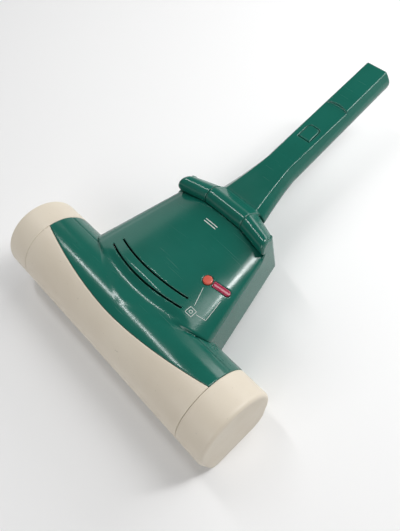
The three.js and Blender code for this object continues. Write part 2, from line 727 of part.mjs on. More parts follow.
add("hinge_pin", barX(HINGE.pin, -HINGE.pinHalf, HINGE.pinHalf, HINGE.y, HINGE.z, 16), steel);
add("neck_shell", neckShell(), green);
add("neck_cover", neckCover(), green);
add("power_inlet", powerInlet(), black);

const thumbButton = prism(thumbOutline(0), "z", -3, 0.3).add(box(-2.2, 2.2, -2.2, 2.2, -7.6, -2.8));
add("thumb_button", thumbButton, green, thumbFrame);
const thumbSpring = coil(4, 6.6, 4, 0.45).translate(0, 0, -9.9);
add("thumb_button_spring", thumbSpring, steel, thumbFrame);
const thumbSwitch = box(-6, 6, -9, 9, -14, -10.2);
add("thumb_switch", thumbSwitch, black, thumbFrame);

for (const [name, y] of [["neck_screw_front", neckPosts[0]], ["neck_screw_rear", neckPosts[1]]]) {
  const seat = neckTop(y) - 25;
  const head = barZ(3.2, seat - 2, seat - 0.3, 0, y, 12);
  const screw = head.add(barZ(1.4, seat - 1, seat + 15, 0, y, 12));
  add(name, screw, steel);
}

// ---- running wheels -----------------------------------------------------------------------

function runningWheel() {
  const half = WHEEL.width / 2;
  const wheel = barX(WHEEL.radius, WHEEL.x - half, WHEEL.x + half, WHEEL.y, WHEEL.radius, 32);
  return wheel.subtract(barX(WHEEL.axle + 0.4, 20, 50, WHEEL.y, WHEEL.radius, 16));
}

add("right_wheel", runningWheel(), grey);
add("left_wheel", mirrored(runningWheel()), grey);
add("wheel_axle", barX(WHEEL.axle, -45, 45, WHEEL.y, WHEEL.radius, 12), steel);

export default model;
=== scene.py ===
"""The looks of the carpet brush vacuum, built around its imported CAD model.

The visible shells are smooth implicit forms: a function gives each point's distance to the
surface, and net() turns it into a fine quad mesh. Forms are written in millimetres with y = 0 at
the brush roll's axis and z = 0 on the floor; finished meshes are in metres in the row frame.
"""

import json
import math

import bpy
import numpy as np
from mathutils import Matrix, Vector


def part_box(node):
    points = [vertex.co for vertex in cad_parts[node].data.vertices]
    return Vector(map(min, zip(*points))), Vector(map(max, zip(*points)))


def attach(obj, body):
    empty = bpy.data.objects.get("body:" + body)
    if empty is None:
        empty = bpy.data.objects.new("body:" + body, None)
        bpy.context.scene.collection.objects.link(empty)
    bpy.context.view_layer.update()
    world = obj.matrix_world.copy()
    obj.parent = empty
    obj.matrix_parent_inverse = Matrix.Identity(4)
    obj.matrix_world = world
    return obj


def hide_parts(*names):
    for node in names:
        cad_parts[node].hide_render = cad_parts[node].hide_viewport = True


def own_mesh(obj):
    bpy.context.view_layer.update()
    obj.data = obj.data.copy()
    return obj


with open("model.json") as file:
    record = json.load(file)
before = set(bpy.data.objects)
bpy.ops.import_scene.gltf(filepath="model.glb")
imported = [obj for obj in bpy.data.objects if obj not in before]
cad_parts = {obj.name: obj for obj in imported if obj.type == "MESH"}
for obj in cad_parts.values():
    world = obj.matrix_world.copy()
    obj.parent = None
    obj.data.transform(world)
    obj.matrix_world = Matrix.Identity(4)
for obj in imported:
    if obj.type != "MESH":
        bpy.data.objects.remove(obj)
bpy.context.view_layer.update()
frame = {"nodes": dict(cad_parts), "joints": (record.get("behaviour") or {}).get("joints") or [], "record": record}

# ---- driving dimensions ---------------------------------------------------------------------

MM = 0.001
JOINTS = {joint["name"]: joint for joint in frame["joints"]}
ROLL_Y_M = JOINTS["brush_spin"]["pos_m"][1]
GAP = 0.3
WALL = 2.6

# circles (y, z, radius) that the roll housing's section wraps
HOUSING = [(0, 41.5, 41), (-27.5, 10, 10), (15, 19, 19)]
ROLL_Z = 33.5
CAP_SEAM = 118
CAP_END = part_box("right_end_cap")[1].x / MM
CAP_ROUND = 4.5
CAP_BOSS = {"radius": 9, "inner": 121, "floor": 2}
BUSH_SEAT = {"radius": 6, "end": 131}
FRONT_SEAM = {"middle": -11.3, "rise": 17.4, "power": 1.8}
SEAM_HEIGHT = 69
SEAM_ROUND = 1.2
SHARP_ROUND = 0.7
STRIP = {"front": 6, "depth": 1}
SOLE_HEIGHT = 5
MOUTH = {"half": 108, "front": -24, "back": 14, "low": -9, "high": 20, "round": 1.0}

BODY = {"half": 83.5, "front": 34.5, "rear_half": 55.5, "rear": 146.7, "back": 158.3, "floor": 20}
TAPER = math.atan2(BODY["half"] - BODY["rear_half"], BODY["rear"] - BODY["front"])
CROWN = {"height": 84, "y": 30, "slope": 0.107, "radius": 226}
EDGE_HEIGHT = 63
EDGE_ROUND = 2.6
CROWN_ROUND = 4.5
FRONT_BEND = (62, 27)
FRONT_FILLET = {"least": 1.5, "edge": 3, "foot": 4, "flat": 40, "end": 70}
VALLEY = {"start": 8, "end": 36, "sink": 2.5}
# each air slot's front, half length and radius of curve
SLOTS = [(31.2, 51, 185), (42.8, 48, 200)]
SLOT_X = -4
SLOT_WIDTH = 1.8
SLOT_LOW = 60

PRESS = {"x": 43, "y": 74, "radius": 4.7, "clearance": 0.35}
PRESS_HEAD = {"top": 1.5, "dome": 0.008, "round": 1.2, "foot": 2.2}
PRESS_STEM = {"radius": 2, "start": 2, "end": 10}
LENS = {"away": 14.8, "turn": 0.21, "length": 18.4, "width": 6.2}
LENS_FACE = {"top": 0.6, "dome": 0.03, "round": 0.7, "foot": 2.4, "foot_round": 0.3}
HOLE_DEPTH = 6

HINGE = {"y": 142.8, "z": 72.7, "half": 24.7, "front": 133.1, "round": 1.4}
PIN_BORE = {"radius": 3.3, "end": 43}
# circles (y, z, radius) that the sections of the knuckles and of the neck's root wrap
KNUCKLE = [(142.8, 72.7, 9.7), (158, 71, 0.6)]
SIDE_KNUCKLE = [*KNUCKLE, (150, 60, 1)]
NECK_ROOT = [*KNUCKLE, (158.8, 60, 1)]
CREVICE = 0.4
NOTCH_GAP = 0.4
CRADLE_WALL = 2.4
KNUCKLE_END = {"outer": 59.5, "front": 126.5, "depth": 22.5, "drop": 0.5, "round": 5}
LIP = {"wall": 1.8, "start": 126, "rise": 0.75, "top": 76, "inner": 55, "root": 8}
LIP_ROUND = {"top": 2, "edge": 0.8}

NECK = {"start": 158.8, "end": 362, "top": 71.5, "slope": 0.083, "split": -15.5}
NECK_FLARE = {"end": 215, "taper": 0.0009, "spread": 0.58, "power": 1.3}
NECK_WALL = {"front": 3.2, "end": 2.5}
NECK_ROUND = {"end": 1.6, "root": 1.5, "seam": 0.6}
NECK_SCREWS = {"radius": 2, "places": (225, 330)}
# circles (x, height above the neck's top, radius) that the neck's section and its hollow wrap
NECK_SECTION = [(10.9, -1.8, 1.8), (-10.9, -1.8, 1.8), (-5, -12.4, 12.3), (5, -12.4, 12.3)]
NECK_INSIDE = [(9.3, -3.8, 0.4), (-9.3, -3.8, 0.4), (-5, -12.4, 8.9), (5, -12.4, 8.9)]
SCOOP = {"start": 222, "end": 299.5, "depth": 1.6, "bulge": 2.2, "half": 11, "round": 0.6}
THUMB = {"y": 258, "half": 7.2, "length": 17, "bend": 4, "clearance": 0.6, "well": 4}
THUMB_KEY = {"proud": 0.5, "round": 1.2, "foot": 3, "foot_round": 0.5}
THUMB_STEM = {"half": 2.2, "start": 2, "end": 7.6}
PRESS_COIL = {"radius": 3.2, "height": 4.6, "turns": 3, "wire": 0.4, "foot": -7.1}
THUMB_COIL = {"radius": 4, "height": 6.6, "turns": 4, "wire": 0.45, "foot": -9.9}
INLET = {"half": 8.3, "top": -4.3, "bottom": -15.3, "depth": 12}

WHEEL = {"x": 36, "y": 118, "radius": 9.5, "half": 4, "axle": 2.4, "round": 2.4}
WHEEL_DISH = {"radius": 5.2, "half": 1.5, "depth": 1}
LUG = {"away": 1.75, "half": 1.25, "reach": 5, "low": 5, "root": 1, "grip": 0.1}
DRAWER = {"front": 43.5, "back": 70, "top": 57, "round": 0.8}
DRAWER_SIDE = (-95, -60)
WINDOW_LOW = 10
RIBS = {"heights": (34, 39, 44), "along": 22, "half": 8.5, "flat": 1.3, "radius": 0.9, "blend": 0.6}
SUCTION_PORT = ((-54, -6), (28, 46), (34, 49))
BELT_HOLE = {"x": (53, 63), "y": (25, 46), "top": 56}
CASE_SCREW = {"x": 42, "y": 130, "radius": 1.9, "top": 30}
TUFT = {"root": 16.0, "tip": 32.6, "side": 1.9, "radius": 0.17, "sides": 5}
TUFT_ROW = {"first": 2, "last": 1, "apart": 3.6, "count": 16, "wind": 0.012}
TUFT_SPREAD = {"along": 0.7, "across": 0.6, "tip": 0.7, "length": 0.4}

COARSE = 1.0
FINE = COARSE * 0.8
SMALL = 0.35

# ---- implicit forms -------------------------------------------------------------------------


def low(*parts):
    """The union of forms."""
    result = parts[0]
    for part in parts[1:]:
        result = np.minimum(result, part)
    return result


def high(*parts):
    """What all forms share."""
    result = parts[0]
    for part in parts[1:]:
        result = np.maximum(result, part)
    return result


def soft_low(a, b, reach):
    """A union with a fillet; reach may differ from place to place."""
    h = np.maximum(reach - np.abs(a - b), 0) / np.maximum(reach, 1e-4)
    return np.minimum(a, b) - h * h * reach / 4


def soft_high(a, b, reach):
    """An intersection with a rounded edge."""
    return -soft_low(-a, -b, reach)


def capsule(u, v, first, second):
    """The band round two circles (u, v, radius)."""
    (u1, v1, r1), (u2, v2, r2) = first, second
    length = math.hypot(u2 - u1, v2 - v1)
    du, dv = (u2 - u1) / length, (v2 - v1) / length
    along = (u - u1) * du + (v - v1) * dv
    side = np.abs((v - v1) * du - (u - u1) * dv)
    lean = (r1 - r2) / length
    upright = math.sqrt(1 - lean * lean)
    k = along * upright - side * lean
    start = np.hypot(side, along) - r1
    end = np.hypot(side, along - length) - r2
    flank = side * upright + along * lean - r1
    return np.where(k < 0, start, np.where(k > upright * length, end, flank))


def hull(u, v, circles):
    """The band round any number of circles, listed in order round the outline."""
    result = None
    for i, first in enumerate(circles):
        for second in circles[i + 1:]:
            part = capsule(u, v, first, second)
            result = part if result is None else np.minimum(result, part)
    turn = 0
    for (u1, v1, _), (u2, v2, _) in zip(circles, circles[1:] + circles[:1]):
        turn += u1 * v2 - u2 * v1
    inner = None
    for (u1, v1, _), (u2, v2, _) in zip(circles, circles[1:] + circles[:1]):
        length = math.hypot(u2 - u1, v2 - v1)
        side = ((u - u1) * (v2 - v1) - (v - v1) * (u2 - u1)) / length * math.copysign(1, turn)
        inner = side if inner is None else np.maximum(inner, side)
    return np.minimum(result, inner)


def block(x, y, z, x_span, y_span, z_span):
    """A box."""
    result = None
    for value, (start, end) in zip((x, y, z), (x_span, y_span, z_span)):
        part = np.abs(value - (start + end) / 2) - (end - start) / 2
        result = part if result is None else np.maximum(result, part)
    return result


def rod(u, v, radius, centre_u=0, centre_v=0):
    return np.hypot(u - centre_u, v - centre_v) - radius


def net(form, lowest, highest, step):
    """A quad mesh of the surface where form(x, y, z) is 0: points and faces, in millimetres."""
    axes = [np.arange(a - 1.5 * step, b + 2.5 * step, step) for a, b in zip(lowest, highest)]
    x, y, z = np.meshgrid(*axes, indexing="ij", sparse=True)
    value = np.array(np.broadcast_to(form(x, y, z), [len(a) for a in axes]))
    for axis in range(3):
        rim = [slice(None)] * 3
        for end in (0, -1):
            rim[axis] = end
            value[tuple(rim)] = np.maximum(value[tuple(rim)], step)
    inside = value < 0
    cells = np.zeros([n - 1 for n in value.shape], np.int8)
    shifts = [(i, j, k) for i in (0, 1) for j in (0, 1) for k in (0, 1)]
    for i, j, k in shifts:
        a, b, c = cells.shape
        cells += inside[i:i + a, j:j + b, k:k + c]
    active = np.argwhere((cells > 0) & (cells < 8))
    total = np.zeros((len(active), 3))
    count = np.zeros((len(active), 1))
    for corner in shifts:
        for axis in range(3):
            if corner[axis]:
                continue
            far = list(corner)
            far[axis] = 1
            va = value[tuple((active + corner).T)]
            vb = value[tuple((active + far).T)]
            crossed = (va < 0) != (vb < 0)
            share = np.where(crossed, va / np.where(crossed, va - vb, 1), 0)
            point = np.tile(np.array(corner, float), (len(active), 1))
            point[:, axis] = share
            total += point * crossed[:, None]
            count += crossed[:, None]
    start = np.array([a[0] for a in axes])
    points = start + (active + total / count) * step
    number = np.full(cells.shape, -1, np.int64)
    number[tuple(active.T)] = np.arange(len(active))
    faces = []
    for axis in range(3):
        ahead = [slice(None)] * 3
        behind = [slice(None)] * 3
        ahead[axis] = slice(1, None)
        behind[axis] = slice(None, -1)
        first = inside[tuple(behind)]
        edges = np.argwhere(first != inside[tuple(ahead)])
        outward = first[tuple(edges.T)]
        one, two = np.eye(3, dtype=int)[[(axis + 1) % 3, (axis + 2) % 3]]
        ring = [number[tuple((edges - shift).T)] for shift in (one + two, two, 0 * one, one)]
        quad = np.stack(ring, 1)
        faces.append(np.where(outward[:, None], quad, quad[:, ::-1]))
    return settle(form, points, step), np.concatenate(faces)


def settle(form, points, step):
    """Moves mesh points onto the exact surface."""
    reach, least_slope, share = 0.02, 0.2, 0.9
    for _ in range(3):
        here = form(*points.T)
        slopes = []
        for axis in range(3):
            nudge = np.zeros(3)
            nudge[axis] = reach
            slopes.append((form(*(points + nudge).T) - form(*(points - nudge).T)) / (2 * reach))
        gradient = np.stack(slopes, 1)
        size = np.maximum((gradient ** 2).sum(1), least_slope)
        move = np.clip(here / size, -step / 2, step / 2)
        points = points - gradient * move[:, None] * share
    return points


# ---- pieces ---------------------------------------------------------------------------------


def to_row(points):
    """Millimetres from the roll's axis to metres in the row frame."""
    return np.asarray(points, float) * MM + np.array([0, ROLL_Y_M, 0])


def mesh_piece(name, points, faces, material, body, nodes=()):
    """A new piece, from points in the row frame, that rides on a body and replaces CAD nodes."""
    mesh = bpy.data.meshes.new(name)
    mesh.from_pydata(np.asarray(points).tolist(), [], [list(map(int, face)) for face in faces])
    mesh.validate()
    mesh.update()
    mesh.materials.append(material)
    mesh.polygons.foreach_set("use_smooth", [True] * len(mesh.polygons))
    piece = bpy.data.objects.new(name, mesh)
    bpy.context.scene.collection.objects.link(piece)
    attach(piece, body)
    if nodes:
        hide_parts(*nodes)
    return piece


def form_piece(name, form, span, material, body, nodes, step=FINE):
    """A new piece with a form's surface, meshed inside span: its x, y and z limits in millimetres."""
    points, faces = net(form, *zip(*span), step)
    return mesh_piece(name, to_row(points), faces, material, body, nodes)


# ---- materials ------------------------------------------------------------------------------

# noise scales are per metre; a band is the range of a noise over which its effect sets in
DRIFT = {"scale": 18, "band": (0.35, 0.65)}
SPECK = {"scale": 430, "band": (0.75, 0.78), "share": 0.45, "tone": 0.6}
WORN_BAND = (0.53, 0.62)
PALER = {"share": 0.75, "lift": 0.2}
UNEVEN = {"scale": 45, "band": (0.3, 0.7), "least": 0.85, "most": 1.25}
SCRATCH = {"turns_and_scales": ((0.5, 16), (-0.9, 12)), "stretch": (1.2, 55, 1.2), "band": (0.69, 0.72)}
GRAIN_SCALE = 1300
BUMP_STRENGTH = 0.6
COAT_ROUGHNESS = 0.06


def moulded(name, color, tint, roughness, coat=0.0, scratches=0.0, grain=0.00002, metal=0.0, wear=0.3):
    """A moulded or metal surface: soft colour drift, fine grain, hairline scratches, worn edges."""
    material = bpy.data.materials.new(name)
    material.use_nodes = True
    tree = material.node_tree
    nodes, links = tree.nodes, tree.links
    shader = nodes["Principled BSDF"]
    shader.inputs["Metallic"].default_value = metal
    shader.inputs["Coat Weight"].default_value = coat
    shader.inputs["Coat Roughness"].default_value = COAT_ROUGHNESS
    place = nodes.new("ShaderNodeTexCoord").outputs["Object"]

    def noise(scale, detail, stretch=None, turn=0.0):
        texture = nodes.new("ShaderNodeTexNoise")
        texture.inputs["Scale"].default_value = scale
        texture.inputs["Detail"].default_value = detail
        source = place
        if stretch:
            mapping = nodes.new("ShaderNodeMapping")
            mapping.inputs["Scale"].default_value = stretch
            mapping.inputs["Rotation"].default_value = (0, 0, turn)
            links.new(place, mapping.inputs["Vector"])
            source = mapping.outputs["Vector"]
        links.new(source, texture.inputs["Vector"])
        return texture.outputs["Fac"]

    def ramp(source, start, end, first, last):
        node = nodes.new("ShaderNodeMapRange")
        for key, value in zip(("From Min", "From Max", "To Min", "To Max"), (start, end, first, last)):
            node.inputs[key].default_value = value
        links.new(source, node.inputs["Value"])
        return node.outputs["Result"]

    def add(a, b):
        node = nodes.new("ShaderNodeMath")
        node.operation = "ADD"
        links.new(a, node.inputs[0])
        links.new(b, node.inputs[1])
        return node.outputs[0]

    def blend(factor, a, b):
        node = nodes.new("ShaderNodeMix")
        node.data_type = "RGBA"
        links.new(factor, node.inputs["Factor"])
        for key, value in ((6, a), (7, b)):
            if isinstance(value, tuple):
                node.inputs[key].default_value = (*value, 1)
            else:
                links.new(value, node.inputs[key])
        return node.outputs[2]

    drift = ramp(noise(DRIFT["scale"], 5), *DRIFT["band"], 0, 1)
    specks = ramp(noise(SPECK["scale"], 1), *SPECK["band"], 0, SPECK["share"])
    edge = nodes.new("ShaderNodeNewGeometry").outputs["Pointiness"]
    worn = ramp(edge, *WORN_BAND, 0, wear)
    base = blend(drift, color, tint)
    base = blend(specks, base, tuple(SPECK["tone"] * c for c in color))
    pale = tuple(min(1, PALER["share"] * c + PALER["lift"]) for c in color)
    links.new(blend(worn, base, pale), shader.inputs["Base Color"])

    least, most = roughness * UNEVEN["least"], roughness * UNEVEN["most"]
    rough = ramp(noise(UNEVEN["scale"], 6), *UNEVEN["band"], least, most)
    if scratches:
        for turn, scale in SCRATCH["turns_and_scales"]:
            line = ramp(noise(scale, 3, SCRATCH["stretch"], turn), *SCRATCH["band"], 0, scratches)
            rough = add(rough, line)
    links.new(rough, shader.inputs["Roughness"])
    bump = nodes.new("ShaderNodeBump")
    bump.inputs["Distance"].default_value = grain
    bump.inputs["Strength"].default_value = BUMP_STRENGTH
    links.new(noise(GRAIN_SCALE, 2), bump.inputs["Height"])
    links.new(bump.outputs["Normal"], shader.inputs["Normal"])
    return material


green = moulded("green plastic", (0.0045, 0.1, 0.072), (0.007, 0.113, 0.083), 0.165, 0, 0.14, 0.000016)
dark_green = moulded(
    "green plastic lower", (0.007, 0.1, 0.074), (0.009, 0.11, 0.082), 0.26, 0, 0.1, 0.00001
)
beige = moulded("beige plastic", (0.63, 0.56, 0.455), (0.665, 0.6, 0.495), 0.42, 0, 0.06, 0.00002)
red = moulded("red plastic", (0.5, 0.072, 0.04), (0.55, 0.09, 0.052), 0.32, 0.2, 0.05)
lens_red = moulded("lens plastic", (0.27, 0.012, 0.045), (0.35, 0.02, 0.06), 0.1, 0.6)
grey = moulded("grey plastic", (0.09, 0.096, 0.1), (0.11, 0.115, 0.12), 0.5, 0, 0.05, 0.00004)
black = moulded("black plastic", (0.012, 0.0125, 0.013), (0.018, 0.018, 0.019), 0.45, 0, 0.04, 0.00003)
smoke = moulded("smoke plastic", (0.06, 0.07, 0.075), (0.075, 0.085, 0.09), 0.2, 0.4)
nylon = moulded("nylon", (0.02, 0.02, 0.022), (0.035, 0.035, 0.037), 0.5, 0, 0, 0.00001)
steel = moulded("steel", (0.5, 0.51, 0.52), (0.56, 0.57, 0.58), 0.28, 0, 0.2, 0.00001, 1.0, 0.1)
bronze = moulded("bronze", (0.42, 0.24, 0.09), (0.5, 0.3, 0.12), 0.36, 0, 0.1, 0.00002, 1.0, 0.1)
rubber = moulded("rubber", (0.008, 0.008, 0.008), (0.014, 0.014, 0.014), 0.8, 0, 0, 0.00005)
foam = moulded("foam", (0.035, 0.037, 0.042), (0.05, 0.052, 0.058), 0.95, 0, 0, 0.0005)
board = moulded("circuit board", (0.02, 0.13, 0.035), (0.025, 0.16, 0.05), 0.35, 0.3)
lamp = moulded("lamp", (0.7, 0.65, 0.56), (0.75, 0.7, 0.6), 0.15, 0.5)
ink = moulded("print", (0.6, 0.63, 0.6), (0.68, 0.7, 0.67), 0.5, 0, 0, 0.00002)

BY_SLOT = {
    "green_plastic": dark_green, "beige_plastic": beige, "red_plastic": red, "lens": lens_red,
    "grey_plastic": grey, "black_plastic": black, "smoke_plastic": smoke, "bristle": nylon,
    "steel": steel, "bronze": bronze, "rubber": rubber, "foam": foam, "circuit_board": board,
    "lamp": lamp,
}
for part in frame["record"]["subparts"]:
    node = frame["nodes"][part["node"]]
    node.data.materials.clear()
    node.data.materials.append(BY_SLOT[part["material_slot"]])

# ---- roll housing ---------------------------------------------------------------------------


def tube(y, z, grow=0.0):
    return hull(y, z, HOUSING) - grow


def wall(y, z):
    return high(tube(y, z), -tube(y, z, -WALL))


def front_seam(x):
    """Where the light front cover ends on top of the housing."""
    share = np.abs(x) / CAP_SEAM
    return FRONT_SEAM["middle"] + FRONT_SEAM["rise"] * share ** FRONT_SEAM["power"]


def between_caps(x):
    return np.abs(x) - (CAP_SEAM - GAP / 2)


def front_cover(x, y, z):
    edge = high(y - front_seam(x) + GAP / 2, SOLE_HEIGHT + GAP / 2 - z, between_caps(x))
    return soft_high(wall(y, z), edge, SHARP_ROUND)


def sole_plate(x, y, z):
    across, up = (-MOUTH["half"], MOUTH["half"]), (MOUTH["low"], MOUTH["high"])
    mouth = block(x, y, z, across, (MOUTH["front"], MOUTH["back"]), up)
    plate = high(wall(y, z), z - SOLE_HEIGHT + GAP / 2, between_caps(x))
    return soft_high(plate, -mouth, MOUTH["round"])


def end_cap(x, y, z):
    x = np.abs(x)
    outer = soft_high(tube(y, z), x - CAP_END, CAP_ROUND)
    inner = high(tube(y, z, -WALL), x - CAP_END + CAP_ROUND / 2)
    ends = high(CAP_BOSS["inner"] - x, x - CAP_END + CAP_BOSS["floor"])
    boss = high(rod(y, z, CAP_BOSS["radius"], 0, ROLL_Z), ends)
    cup = low(high(outer, -inner), boss)
    seat = high(rod(y, z, BUSH_SEAT["radius"] + GAP, 0, ROLL_Z), x - BUSH_SEAT["end"])
    return soft_high(high(cup, -seat), CAP_SEAM + GAP / 2 - x, SHARP_ROUND)


# ---- body -----------------------------------------------------------------------------------


def top_height(x, y):
    """The height of the crown, which is round across and falls to the rear."""
    return CROWN["height"] - CROWN["slope"] * (y - CROWN["y"]) - x * x / (2 * CROWN["radius"])


def side_wall(x, y):
    """How far a point is outside the tapered side walls."""
    across = (np.abs(x) - BODY["half"]) * math.cos(TAPER)
    return across + (y - BODY["front"]) * math.sin(TAPER)


def smooth_step(value, start, end):
    t = np.clip((value - start) / (end - start), 0, 1)
    return t * t * (3 - 2 * t)


def middle(x):
    """1 over the middle of the width, fading to 0 towards the body's front corners."""
    return 1 - smooth_step(np.abs(x), FRONT_FILLET["flat"], FRONT_FILLET["end"])


def plan_rear(x, y):
    """The body's outline from above, without its front."""
    inward, back = BODY["rear_half"] - HINGE["half"] - 0.5, BODY["back"] - BODY["rear"]
    rear = (np.abs(x) - BODY["rear_half"]) * back + (y - BODY["rear"]) * inward
    rear = rear / math.hypot(inward, back)
    return soft_high(high(side_wall(x, y), y - BODY["back"]), rear, EDGE_ROUND)


def plan_front(x, y):
    """The slanting line that closes the body's outline in front."""
    bend_x, bend_y = FRONT_BEND
    run, fall = BODY["half"] - bend_x, BODY["front"] - bend_y
    return ((np.abs(x) - bend_x) * fall - (y - bend_y) * run) / math.hypot(run, fall)


def body_top(x, y):
    """The crown, sinking softly over its middle into the roll housing's top."""
    crown = top_height(x, y)
    _, centre, radius = HOUSING[0]
    tube_top = centre + np.sqrt(np.maximum(radius ** 2 - y * y, 1)) - VALLEY["sink"]
    share = 1 - smooth_step(y, VALLEY["start"], VALLEY["end"])
    return crown - (crown - tube_top) * share * middle(x)


def under_crown(x, y, z):
    return (z - body_top(x, y)) / math.hypot(1, CROWN["slope"])


def body_block(x, y, z, inset=0.0):
    bevel = (side_wall(x, y) + z - EDGE_HEIGHT) / math.sqrt(2)
    top = soft_high(under_crown(x, y, z), bevel, CROWN_ROUND)
    back = soft_high(plan_rear(x, y), top, EDGE_ROUND)
    return soft_high(plan_front(x, y), back, EDGE_ROUND + FRONT_FILLET["edge"] * middle(x)) + inset


def swept_knuckle(x, y, z):
    """The barrel beside the neck's, swept forward and thinner towards its round outer end."""
    x = np.abs(x)
    inner = HINGE["half"] + GAP / 2
    t = np.clip((x - inner) / (KNUCKLE_END["outer"] - inner), 0, 1)
    depth = BODY["back"] - HINGE["front"]
    front = HINGE["front"] + (KNUCKLE_END["front"] - HINGE["front"]) * t
    spread = (depth + (KNUCKLE_END["depth"] - depth) * t) / depth
    section = hull(HINGE["front"] + (y - front) / spread, z + KNUCKLE_END["drop"] * t, SIDE_KNUCKLE)
    return soft_high(section, plan_rear(x, y), KNUCKLE_END["round"])


def side_knuckle(x, y, z):
    """The knuckle as far as the lip that the side wall raises beside its end."""
    bore = high(rod(y, z, PIN_BORE["radius"], HINGE["y"], HINGE["z"]), np.abs(x) - PIN_BORE["end"])
    ends = high(HINGE["half"] + GAP / 2 - np.abs(x), plan_rear(x, y) + LIP["wall"] - GAP)
    return high(swept_knuckle(x, y, z), ends, -bore)


def lip(x, y, z):
    """The side wall's upper edge, which rises to the rear and closes the knuckle's end."""
    slant = (z - EDGE_HEIGHT - (y - LIP["start"]) * LIP["rise"]) / math.hypot(1, LIP["rise"])
    fall = (z - LIP["top"] + LIP["inner"] - np.abs(x)) / math.sqrt(2)
    rim = soft_high(slant, high(fall, z - LIP["top"]), LIP_ROUND["top"])
    edge = soft_high(plan_rear(x, y), rim, LIP_ROUND["edge"])
    inside = high(-LIP["wall"] - plan_rear(x, y), EDGE_HEIGHT - LIP["root"] - z)
    return high(low(edge, swept_knuckle(x, y, z)), inside)


def air_slot(x, y, slot):
    """One curved air slot, seen from above."""
    start, half, radius = slot
    ring = np.abs(np.hypot(x - SLOT_X, y - start - radius) - radius) - SLOT_WIDTH / 2
    return high(ring, np.abs(x - SLOT_X) - half, y - start - radius)


def top_frame(x, y, turn=0.0):
    """Origin and axes of a frame lying on the body's top."""
    normal = Vector((x / CROWN["radius"], CROWN["slope"], 1)).normalized()
    turned = Vector((0, 0, 1)).rotation_difference(normal).to_matrix() @ Matrix.Rotation(turn, 3, "Z")
    return np.array([x, y, top_height(x, y)]), np.array(turned)


def into(place, x, y, z):
    """Coordinates of points in a frame."""
    origin, axes = place
    dx, dy, dz = x - origin[0], y - origin[1], z - origin[2]
    return [axes[0, i] * dx + axes[1, i] * dy + axes[2, i] * dz for i in range(3)]


press_place = top_frame(PRESS["x"], PRESS["y"])
lens_place = top_frame(
    PRESS["x"] + LENS["away"] * math.cos(LENS["turn"]),
    PRESS["y"] + LENS["away"] * math.sin(LENS["turn"]),
    LENS["turn"],
)


def lens_outline(u, v, grow):
    tip = LENS["length"] / 2 - LENS["width"] / 2
    bar = high(np.abs(v) - LENS["width"] / 2, -u - LENS["length"] / 2, u - tip)
    return low(bar, rod(u, v, LENS["width"] / 2, tip)) - grow


def press_hole(x, y, z):
    u, v, w = into(press_place, x, y, z)
    return high(rod(u, v, PRESS["radius"] + PRESS["clearance"]), np.abs(w) - HOLE_DEPTH)


def lens_hole(x, y, z):
    u, v, w = into(lens_place, x, y, z)
    return high(lens_outline(u, v, GAP), np.abs(w) - HOLE_DEPTH)


def upper_shell(x, y, z):
    half = np.abs(x)
    seam = SEAM_HEIGHT + GAP / 2
    roll = soft_high(soft_high(tube(y, z), seam - z, SEAM_ROUND), between_caps(x), SHARP_ROUND)
    body = body_block(x, y, z)
    outside = soft_low(roll, body, FRONT_FILLET["least"] + FRONT_FILLET["foot"] * middle(x))
    cradle = high(hull(y, z, NECK_ROOT) - CRADLE_WALL, half - HINGE["half"] - CRADLE_WALL)
    hollow = low(tube(y, z, -WALL), high(body_block(x, y, z, WALL), -cradle, -tube(y, z)))
    crevice = high(swept_knuckle(x, y, z) - CREVICE, HINGE["half"] - half)
    strip = high(tube(y, z, -STRIP["depth"]), z - seam)
    shell = high(outside, -hollow, -crevice, -strip, BODY["floor"] - z)
    shell = low(shell, lip(x, y, z))
    shell = soft_high(shell, front_seam(x) + GAP / 2 - y, SHARP_ROUND)
    notch_round = hull(y, z, NECK_ROOT) - NOTCH_GAP
    notch_open = high(HINGE["front"] - NOTCH_GAP - y, HINGE["z"] - z)
    notch = high(low(notch_round, notch_open), half - HINGE["half"] - GAP / 2)
    slots = [high(air_slot(x, y, slot), SLOT_LOW - z) for slot in SLOTS]
    along = (DRAWER["front"] - GAP, DRAWER["back"] + GAP)
    window = block(x, y, z, DRAWER_SIDE, along, (WINDOW_LOW, DRAWER["top"] + GAP))
    for cut in (*slots, notch, press_hole(x, y, z), lens_hole(x, y, z), window):
        shell = high(shell, -cut)
    return shell


def base_shell(x, y, z):
    half = np.abs(x)
    upright = high(SOLE_HEIGHT + GAP / 2 - z, z - SEAM_HEIGHT + GAP / 2)
    strip = high(STRIP["front"] - y, upright, between_caps(x))
    back = soft_high(wall(y, z), strip, SEAM_ROUND)
    edge = soft_high(plan_rear(x, y), plan_front(x, y), EDGE_ROUND)
    floor = high(edge + WALL + GAP, np.abs(z - BODY["floor"] - WALL / 2) - WALL / 2)
    floor = high(floor, -tube(y, z, -WALL / 2))
    inner = np.abs(half - WHEEL["x"] + WHEEL["half"] + LUG["away"]) - LUG["half"]
    outer = np.abs(half - WHEEL["x"] - WHEEL["half"] - LUG["away"]) - LUG["half"]
    upright = high(LUG["low"] - z, z - BODY["floor"] - LUG["root"])
    lugs = high(low(inner, outer), np.abs(y - WHEEL["y"]) - LUG["reach"], upright)
    lugs = high(lugs, -rod(y, z, WHEEL["axle"] - LUG["grip"], WHEEL["y"], WHEEL["radius"]))
    port = block(x, y, z, *SUCTION_PORT)
    belt = block(x, y, z, BELT_HOLE["x"], BELT_HOLE["y"], (BODY["floor"] + WALL, BELT_HOLE["top"]))
    screws = rod(half, y, CASE_SCREW["radius"], CASE_SCREW["x"], CASE_SCREW["y"])
    screws = high(screws, z - CASE_SCREW["top"])
    return high(low(back, floor, lugs), -port, -belt, -screws)


